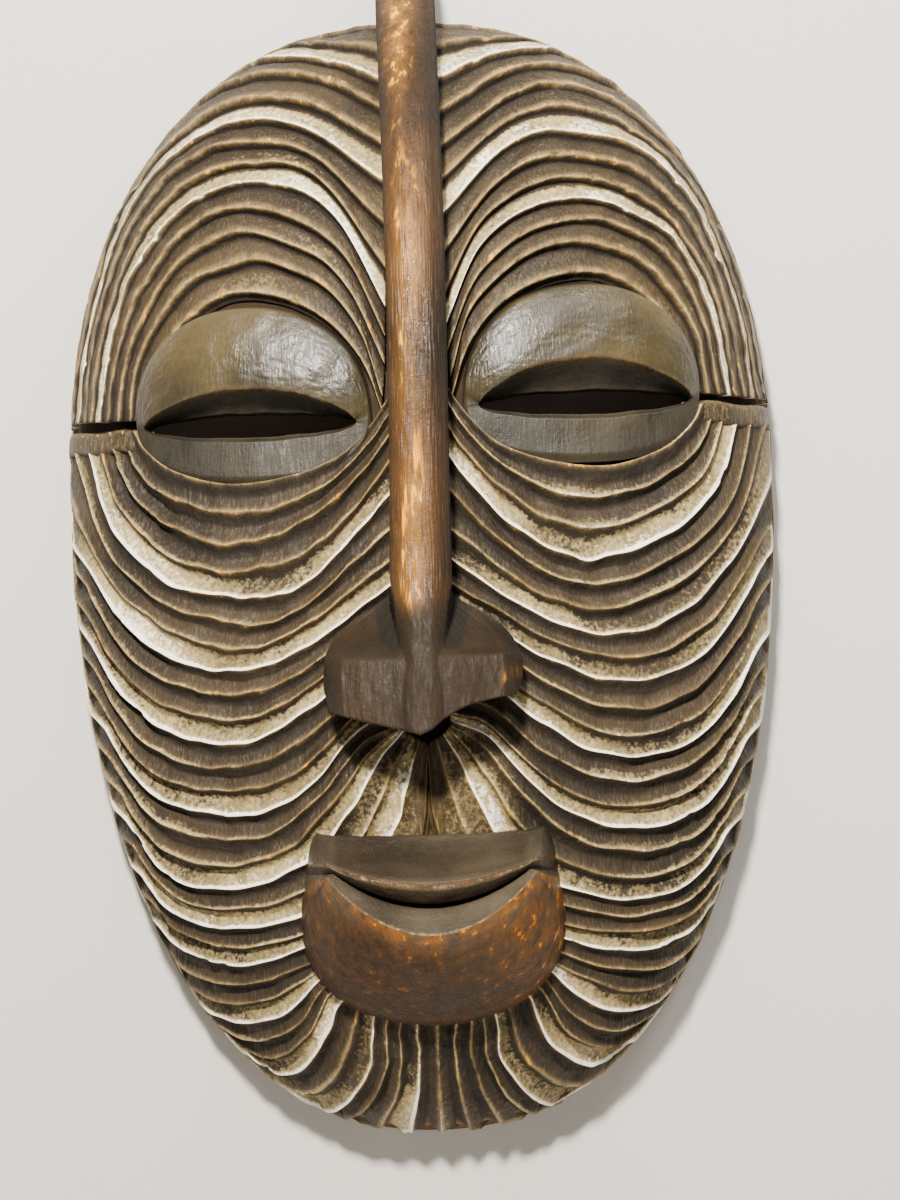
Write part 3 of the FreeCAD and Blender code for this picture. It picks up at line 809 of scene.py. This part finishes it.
# Rings of the shell: sizes in the core under the carving, steps across the flat rim, and sizes in
# the hollow.
CORE_SIZES = (0.06, 0.2, 0.35, 0.5, 0.65, 0.78, 0.88, 0.94, 0.97, 0.985)
RIM_SHARES = (0.0, 0.25, 0.5, 0.75)
HOLLOW_SIZES = (1.0, 0.997, 0.985, 0.96, 0.92, 0.86, 0.78, 0.68, 0.56, 0.42, 0.28, 0.14, 0.05)


def back_shell(material):
    """The inside of the mask: the hollow, the flat rim and the core under the carving."""
    rings = shell_rings()
    turns = SHELL_COLUMNS
    points = np.concatenate([np.stack(rings).reshape(-1, 3),
                             [[0.0, rings[0][0, 1], WIDEST_Z], [0.0, rings[-1][0, 1], WIDEST_Z]]])
    faces = sheet_faces(len(rings), turns, wrap=True)
    first_pole, last_pole = len(points) - 2, len(points) - 1
    last = (len(rings) - 1) * turns
    for step in range(turns):
        follow = (step + 1) % turns
        faces.append((first_pole, follow, step))
        faces.append((last_pole, last + step, last + follow))
    coats = np.zeros((len(points), 3))
    coats[:, 2] = 0.3
    # Painted shade: the core under the carving is dark to black, where it shows between the pieces in front.
    coats[:len(CORE_SIZES) * turns, 2] = 1.3
    shell = make_piece("back_shell", points, faces, coats, material)
    cut_away(shell, [slit_cutter(-1), slit_cutter(1), recess_cutter()])
    clear_clay_and_wear(shell)
    return shell


def shell_rings():
    """The shell's rings of points, from the middle of the core over the rim into the hollow."""
    turns = SHELL_COLUMNS
    angle = np.linspace(0.0, 2.0 * math.pi, turns, endpoint=False)
    outer = ring_of(angle, HALF_WIDTH - 3.0, ARCH_HEIGHT - 3.0, CHIN_DROP - 3.0)
    rim = ring_of(angle, HALF_WIDTH - 1.0, ARCH_HEIGHT - 1.0, CHIN_DROP - 1.0)
    hollow = ring_of(angle, HOLLOW_HALF_WIDTH, HOLLOW_ARCH, HOLLOW_CHIN)
    rings = [ring_points(outer, size, dome_depth(np.full(turns, size)) - 5.5) for size in CORE_SIZES]
    rings += [ring_points(outer, 1.0, np.full(turns, depth)) for depth in (12.0, 1.0)]
    rings += [ring_points(rim + (hollow - rim) * share, 1.0, np.full(turns, -0.2)) for share in RIM_SHARES]
    for size in HOLLOW_SIZES:
        fall = math.sqrt(max(0.0, 1.0 - size ** DOME_POWER))
        depth = np.full(turns, 1.0 * (size < 1.0) + (HOLLOW_DEPTH - 1.0) * fall)
        tool = 0.5 * ripple(np.cos(angle) * size * 14.0, np.sin(angle) * size * 18.0, 151)
        rings.append(ring_points(hollow, size, depth + tool * (size < 0.99)))
    return rings


def clear_clay_and_wear(piece):
    """Take the clay and the wear off a piece, because a cut leaves both on its new vertices."""
    colour = piece.data.attributes["coats"]
    values = np.zeros(4 * len(piece.data.vertices))
    colour.data.foreach_get("color", values)
    values = values.reshape(-1, 4)
    values[:, :2] = 0.0
    colour.data.foreach_set("color", values.ravel())


def ring_of(angle, half_width, arch, chin):
    """Points (x, z) round an outline of the face's shape."""
    rising = np.sin(angle) >= 0
    power = np.where(rising, ARCH_POWER, CHIN_POWER)
    height = np.where(rising, arch, chin)
    reach = (np.abs(np.cos(angle)) ** power + np.abs(np.sin(angle)) ** power) ** (-1.0 / power)
    x = half_width * reach * np.cos(angle)
    return np.stack([x, WIDEST_Z + height * reach * np.sin(angle)], axis=-1)


def ring_points(outline, size, depth):
    """An outline shrunk by size about the widest level and set at a depth."""
    x = outline[:, 0] * size
    z = WIDEST_Z + (outline[:, 1] - WIDEST_Z) * size
    narrow = 1.0 - TAPER * depth
    return np.stack([x * narrow, depth, z * narrow], axis=-1)


def prism(name, corners, front_depth, back_depth):
    """A cutter through the face between two depths."""
    ring = np.array([(x, 0.0, z) for x, z in corners])
    near = ring + np.array([0.0, front_depth, 0.0])
    far = ring + np.array([0.0, back_depth, 0.0])
    count = len(corners)
    faces = [tuple(range(count)), tuple(range(2 * count - 1, count - 1, -1))]
    for step in range(count):
        follow = (step + 1) % count
        faces.append((follow, step, count + step, count + follow))
    mesh = bpy.data.meshes.new(name)
    mesh.from_pydata(to_scene(np.concatenate([near, far])).tolist(), [], faces)
    mesh.update()
    paint(mesh, (0.0, 0.0, 0.5))
    cutter = in_scene(name, mesh)
    face_outward(cutter)
    return cutter


def slit_cutter(side):
    """The opening behind one eye, a little wider than its slit."""
    half_length, half_height, narrow, count = 41.0, 8.0, 0.955, 32
    middle_z = EYE_Z + EYE_LIFT * (side > 0)
    corners = []
    for step in range(count):
        angle = 2.0 * math.pi * step / count
        corners.append((side * (EYE_X + half_length * math.cos(angle)) * narrow,
                        (middle_z + half_height * math.sin(angle)) * narrow))
    return prism("slit_cutter", corners, 130.0, 20.0)


def recess_cutter():
    """The pocket for the hanger."""
    low, high, half, corner = 160.0, 199.0, 13.5, 4.0
    side_x, top_z, bottom_z = half - corner, high - corner, low + corner
    centres = ((side_x, top_z, 0), (-side_x, top_z, 90), (-side_x, bottom_z, 180), (side_x, bottom_z, 270))
    corners = []
    for centre_x, centre_z, start in centres:
        for step in range(7):
            angle = math.radians(start + 15 * step)
            corners.append((centre_x + corner * math.cos(angle), centre_z + corner * math.sin(angle)))
    return prism("recess_cutter", corners, 6.0, -5.0)


def cut_away(piece, cutters):
    """Cut each cutter out of a piece and remove the cutters."""
    for cutter in cutters:
        cut = piece.modifiers.new("cut", "BOOLEAN")
        cut.operation = "DIFFERENCE"
        cut.solver = "EXACT"
        cut.object = cutter
    bpy.context.view_layer.update()
    graph = bpy.context.evaluated_depsgraph_get()
    result = bpy.data.meshes.new_from_object(piece.evaluated_get(graph))
    piece.modifiers.clear()
    piece.data = result
    for cutter in cutters:
        bpy.data.objects.remove(cutter)


# ---- materials

class Nodes:
    """A short way to add and join the nodes of one material."""

    def __init__(self, name):
        self.material = bpy.data.materials.new(name)
        self.material.use_nodes = True
        self.tree = self.material.node_tree
        self.shader = self.tree.nodes["Principled BSDF"]

    def add(self, kind, inputs=(), **settings):
        """One shader node; inputs maps socket names or numbers to values or other nodes' sockets."""
        node = self.tree.nodes.new("ShaderNode" + kind)
        for key, value in settings.items():
            setattr(node, key, value)
        for key, value in dict(inputs).items():
            self.join(value, node.inputs[key])
        return node

    def join(self, value, socket):
        """Feed a socket from another socket, or set it."""
        if isinstance(value, bpy.types.NodeSocket):
            self.tree.links.new(value, socket)
        else:
            socket.default_value = value

    def noise(self, scale, detail=4.0, rough=0.55, stretch=(1.0, 1.0, 1.0)):
        """Noise over the object, stretched along its axes."""
        place = self.add("TexCoord").outputs["Object"]
        spread = self.add("Mapping", {"Vector": place, "Scale": stretch})
        node = self.add("TexNoise",
                        {"Vector": spread.outputs[0], "Scale": scale, "Detail": detail,
                         "Roughness": rough})
        return node.outputs[0]

    def ramp(self, value, low, high, start=0.0, end=1.0):
        """A value remapped from low..high to start..end with clamping."""
        node = self.add("MapRange", {0: value, 1: low, 2: high, 3: start, 4: end})
        return node.outputs[0]

    def math(self, operation, first, second=0.0):
        """One arithmetic step on two values."""
        return self.add("Math", {0: first, 1: second}, operation=operation).outputs[0]

    def mix(self, share, first, second, blend="MIX"):
        """Two colours mixed."""
        node = self.add("Mix", {0: share, 6: first, 7: second}, data_type="RGBA", blend_type=blend)
        return node.outputs[2]


def rgb(red, green, blue):
    """A colour given in the 0..255 numbers of a screen, as light values."""
    shares = (red / 255, green / 255, blue / 255)
    values = [((c + 0.055) / 1.055) ** 2.4 if c * 255 > 10 else c / 12.92 for c in shares]
    return (*values, 1.0)


CLAY = rgb(255, 247, 228)
OLD_CLAY = rgb(172, 152, 106)
STAINED_CLAY = rgb(116, 101, 63)

# The looks of the wood: dark and mid colours, the colour for dirt and for painted shade in grooves,
# undersides, seams and slits, worn edges, bare wood in chips, how much fine upright scratch wear shows,
# lighter in colour with a painted glint along it, roughness, shine, relief of the grain, how rare the
# chips are, and their height scale, where a smaller number draws them out further downwards.
WOODS = {
    "ridged_wood": dict(
        dark=rgb(34, 26, 15), mid=rgb(68, 54, 32), dirt_and_shade=rgb(20, 14, 8),
        worn=rgb(142, 116, 70), chip=rgb(214, 144, 6), hair=0.28, gloss=0.45, shine=0.28,
        relief=0.9, rarity=0.63, drawn=0.45,
    ),
    "crest_wood": dict(
        dark=rgb(34, 24, 14), mid=rgb(72, 48, 26), dirt_and_shade=rgb(18, 17, 13),
        worn=rgb(152, 104, 40), chip=rgb(224, 152, 8), hair=0.08, gloss=0.34, shine=0.18,
        relief=0.6, rarity=0.57, drawn=0.12,
    ),
    "mouth_wood": dict(
        dark=rgb(36, 33, 27), mid=rgb(66, 60, 48), dirt_and_shade=rgb(22, 12, 4),
        worn=rgb(140, 82, 8), chip=rgb(200, 124, 2), hair=0.14, gloss=0.36, shine=0.12,
        relief=0.7, rarity=0.625, drawn=0.6,
    ),
    "lid_wood": dict(
        dark=rgb(34, 30, 21), mid=rgb(66, 57, 34), dirt_and_shade=rgb(11, 9, 6),
        worn=rgb(122, 96, 56), chip=rgb(160, 96, 36), hair=0.16, gloss=0.28, shine=0.42,
        relief=0.4, rarity=0.60, drawn=0.3,
    ),
    "inside_wood": dict(
        dark=rgb(84, 58, 38), mid=rgb(122, 88, 58), dirt_and_shade=rgb(26, 18, 12),
        worn=rgb(140, 110, 70), chip=rgb(150, 112, 70), hair=0.20, gloss=0.62, shine=0.3,
        relief=0.8, rarity=0.75, drawn=1.0,
    ),
}


def carved_wood(name):
    """Patinated wood: grime and painted shade by the third coat, worn edges, fine scratches with painted
    glints, white clay where it is rubbed in, bare chips.
    """
    look = WOODS[name]
    n = Nodes(name)
    coats = n.add("VertexColor", layer_name="coats").outputs[0]
    parts = n.add("SeparateColor", {0: coats})
    # The third coat holds dirt in some places and painted shade in others: under crests, in grooves, slits
    # and seams, and under lips and edges.
    clay, wear, hollow = parts.outputs[0], parts.outputs[1], parts.outputs[2]
    broad = n.noise(22.0, 5.0)
    patch = n.noise(70.0, 6.0, 0.68)
    fine = n.noise(620.0, 4.0, 0.65)
    hair = n.noise(1100.0, 3.0, 0.6, (1.0, 1.0, 0.11))
    drips = n.noise(260.0, 5.0, 0.6, (1.0, 1.0, look["drawn"]))

    wood = n.mix(n.ramp(broad, 0.38, 0.62), look["dark"], look["mid"])
    wood = n.mix(n.ramp(patch, 0.52, 0.68, 0.0, 0.5), wood, look["dark"])
    # Lighter streaks along fine upright scratches: scratch wear, with a painted glint along each.
    wood = n.mix(n.ramp(hair, 0.50, 0.74, 0.0, look["hair"]), wood, look["worn"])
    # Dirt and painted shade: the third coat darkens the wood towards the look's dirt-and-shade colour.
    dirt_and_shade = n.math("MULTIPLY", hollow, n.ramp(patch, 0.30, 0.65, 1.15, 0.85))
    wood = n.mix(n.ramp(dirt_and_shade, 0.10, 1.0, 0.0, 0.93), wood, look["dirt_and_shade"])
    worn = n.math("MULTIPLY", wear, n.ramp(drips, 0.36, 0.58, 0.15, 1.0))
    wood = n.mix(n.math("MULTIPLY", worn, 0.70), wood, look["worn"])
    chips = n.ramp(drips, look["rarity"], look["rarity"] + 0.05)
    bare = n.math("MULTIPLY", chips, n.ramp(wear, 0.10, 0.45))
    wood = n.mix(n.math("MULTIPLY", bare, 0.9), wood, look["chip"])

    ragged = n.math("MULTIPLY", n.math("SUBTRACT", n.math("ADD", patch, fine), 1.0), 0.95)
    rubbed = n.ramp(n.math("ADD", clay, ragged), 0.32, 0.66)
    rubbed = n.math("MULTIPLY", rubbed, n.ramp(clay, 0.02, 0.12))
    aged = n.mix(n.ramp(patch, 0.46, 0.60), OLD_CLAY, STAINED_CLAY)
    white = n.mix(n.ramp(n.math("ADD", clay, ragged), 0.72, 1.02), aged, CLAY)
    wood = n.mix(n.math("MULTIPLY", rubbed, 0.92), wood, white)
    n.join(wood, n.shader.inputs["Base Color"])

    dull = n.math("ADD", n.ramp(hair, 0.40, 0.70, 0.14, -0.12), n.ramp(hollow, 0.3, 1.0, 0.0, 0.30))
    dull = n.math("ADD", dull, n.ramp(patch, 0.35, 0.65, -0.06, 0.12))
    dull = n.math("SUBTRACT", dull, n.math("MULTIPLY", wear, 0.10))
    n.join(n.math("ADD", dull, look["gloss"]), n.shader.inputs["Roughness"])
    n.join(look["shine"], n.shader.inputs["Specular IOR Level"])
    rough = n.math("ADD", n.math("MULTIPLY", hair, 0.45), n.math("MULTIPLY", fine, 0.45))
    rough = n.math("ADD", rough, n.math("MULTIPLY", patch, 0.9))
    bump = n.add("Bump", {"Strength": look["relief"], "Distance": 0.0011, "Height": rough})
    n.join(bump.outputs[0], n.shader.inputs["Normal"])
    return n.material


def plain_metal(name, colour, roughness):
    """Drawn or pressed metal with fine scratches and a little tarnish."""
    n = Nodes(name)
    tarnish = n.noise(400.0, 5.0)
    scratch = n.noise(1500.0, 2.0, 0.5, (1.0, 1.0, 0.1))
    dulled = n.mix(n.ramp(tarnish, 0.4, 0.7, 0.0, 0.6), colour, rgb(95, 88, 78))
    n.join(dulled, n.shader.inputs["Base Color"])
    n.join(1.0, n.shader.inputs["Metallic"])
    n.join(n.ramp(tarnish, 0.3, 0.7, roughness, roughness + 0.25), n.shader.inputs["Roughness"])
    bump = n.add("Bump", {"Strength": 0.2, "Distance": 0.0001, "Height": scratch})
    n.join(bump.outputs[0], n.shader.inputs["Normal"])
    return n.material


# ---- the room, light and camera

def room():
    """A pale wall behind the mask and a pale floor below it."""
    near, far, y = -ROOM_REACH, ROOM_REACH, HANG_DEPTH / 1000 + WALL_GAP
    floor = flat_sheet("floor", ((near, near, FLOOR_Z), (far, near, FLOOR_Z), (far, far, FLOOR_Z),
                                 (near, far, FLOOR_Z)), pale_plaster())
    wall = flat_sheet("wall", ((-WALL_REACH, y, FLOOR_Z), (WALL_REACH, y, FLOOR_Z),
                               (WALL_REACH, y, WALL_TOP), (-WALL_REACH, y, WALL_TOP)), one_way_wall())


def pale_plaster():
    """The floor: pale, dull and faintly mottled."""
    n = Nodes("pale_plaster")
    mottle = n.ramp(n.noise(30.0, 4.0), 0.3, 0.7)
    n.join(n.mix(mottle, rgb(222, 218, 212), rgb(230, 227, 222)), n.shader.inputs["Base Color"])
    n.join(0.85, n.shader.inputs["Roughness"])
    return n.material


def one_way_wall():
    """The wall: pale and dull in front, clear from behind and clear to light on its way to the mask."""
    n = Nodes("pale_wall")
    n.join(rgb(190, 187, 182), n.shader.inputs["Base Color"])
    n.join(0.85, n.shader.inputs["Roughness"])
    behind = n.add("NewGeometry").outputs["Backfacing"]
    clear = n.add("BsdfTransparent").outputs[0]
    shadow_ray = n.add("LightPath").outputs["Is Shadow Ray"]
    see_through = n.math("MAXIMUM", behind, shadow_ray)
    one_way = n.add("MixShader", {0: see_through, 1: n.shader.outputs[0], 2: clear})
    n.join(one_way.outputs[0], n.tree.nodes["Material Output"].inputs[0])
    return n.material


def flat_sheet(name, corners, material):
    """One large flat face of the room."""
    mesh = bpy.data.meshes.new(name)
    mesh.from_pydata(corners, [], [(0, 1, 2, 3)])
    mesh.materials.append(material)
    return in_scene(name, mesh)


def soft_light(name, place, size, power, colour):
    """One rectangular light aimed at the face."""
    data = bpy.data.lights.new(name, "AREA")
    data.energy = power
    data.shape = "RECTANGLE"
    data.size, data.size_y = size
    data.color = colour
    light = in_scene(name, data)
    aim = np.array(LIGHT_TARGET) - np.array(place)
    light.location = place
    light.rotation_euler = Vector(aim).to_track_quat("-Z", "Y").to_euler()


def camera():
    """The camera square to the wall, rolled a little, looking at the face."""
    data = bpy.data.cameras.new("camera")
    data.sensor_width = SENSOR
    data.sensor_fit = "AUTO"
    data.lens = SENSOR * VIEW_DISTANCE / VIEW_HEIGHT
    view = in_scene("camera", data)
    view.location = (VIEW_CENTRE[0] / 1000, -VIEW_DISTANCE, (VIEW_CENTRE[1] - HANG_Z) / 1000)
    view.rotation_euler = (math.radians(90.0), math.radians(VIEW_ROLL), 0.0)
    bpy.context.scene.camera = view


def main():
    """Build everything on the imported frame."""
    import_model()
    camera()
    room()
    for light in LIGHTS:
        soft_light(*light)
    ridged = carved_wood("ridged_wood")
    lid_wood = carved_wood("lid_wood")
    for side in (-1, 1):
        cheek(side, ridged)
        brow(side, ridged)
        temple(side, ridged)
        eye(side, lid_wood)
    crest_and_nose(carved_wood("crest_wood"))
    mouth_block(carved_wood("mouth_wood"))
    back_shell(carved_wood("inside_wood"))
    steel = plain_metal("zinc_plate", rgb(176, 176, 172), 0.35)
    wire = plain_metal("steel_wire", rgb(190, 188, 182), 0.25)
    brass = plain_metal("aged_brass", rgb(176, 138, 74), 0.35)
    for node, metal in (("hanger_strap", steel), ("hanger_ring", wire), ("hanger_screws", brass)):
        for slot in bpy.data.objects[node].material_slots:
            slot.material = metal


main()
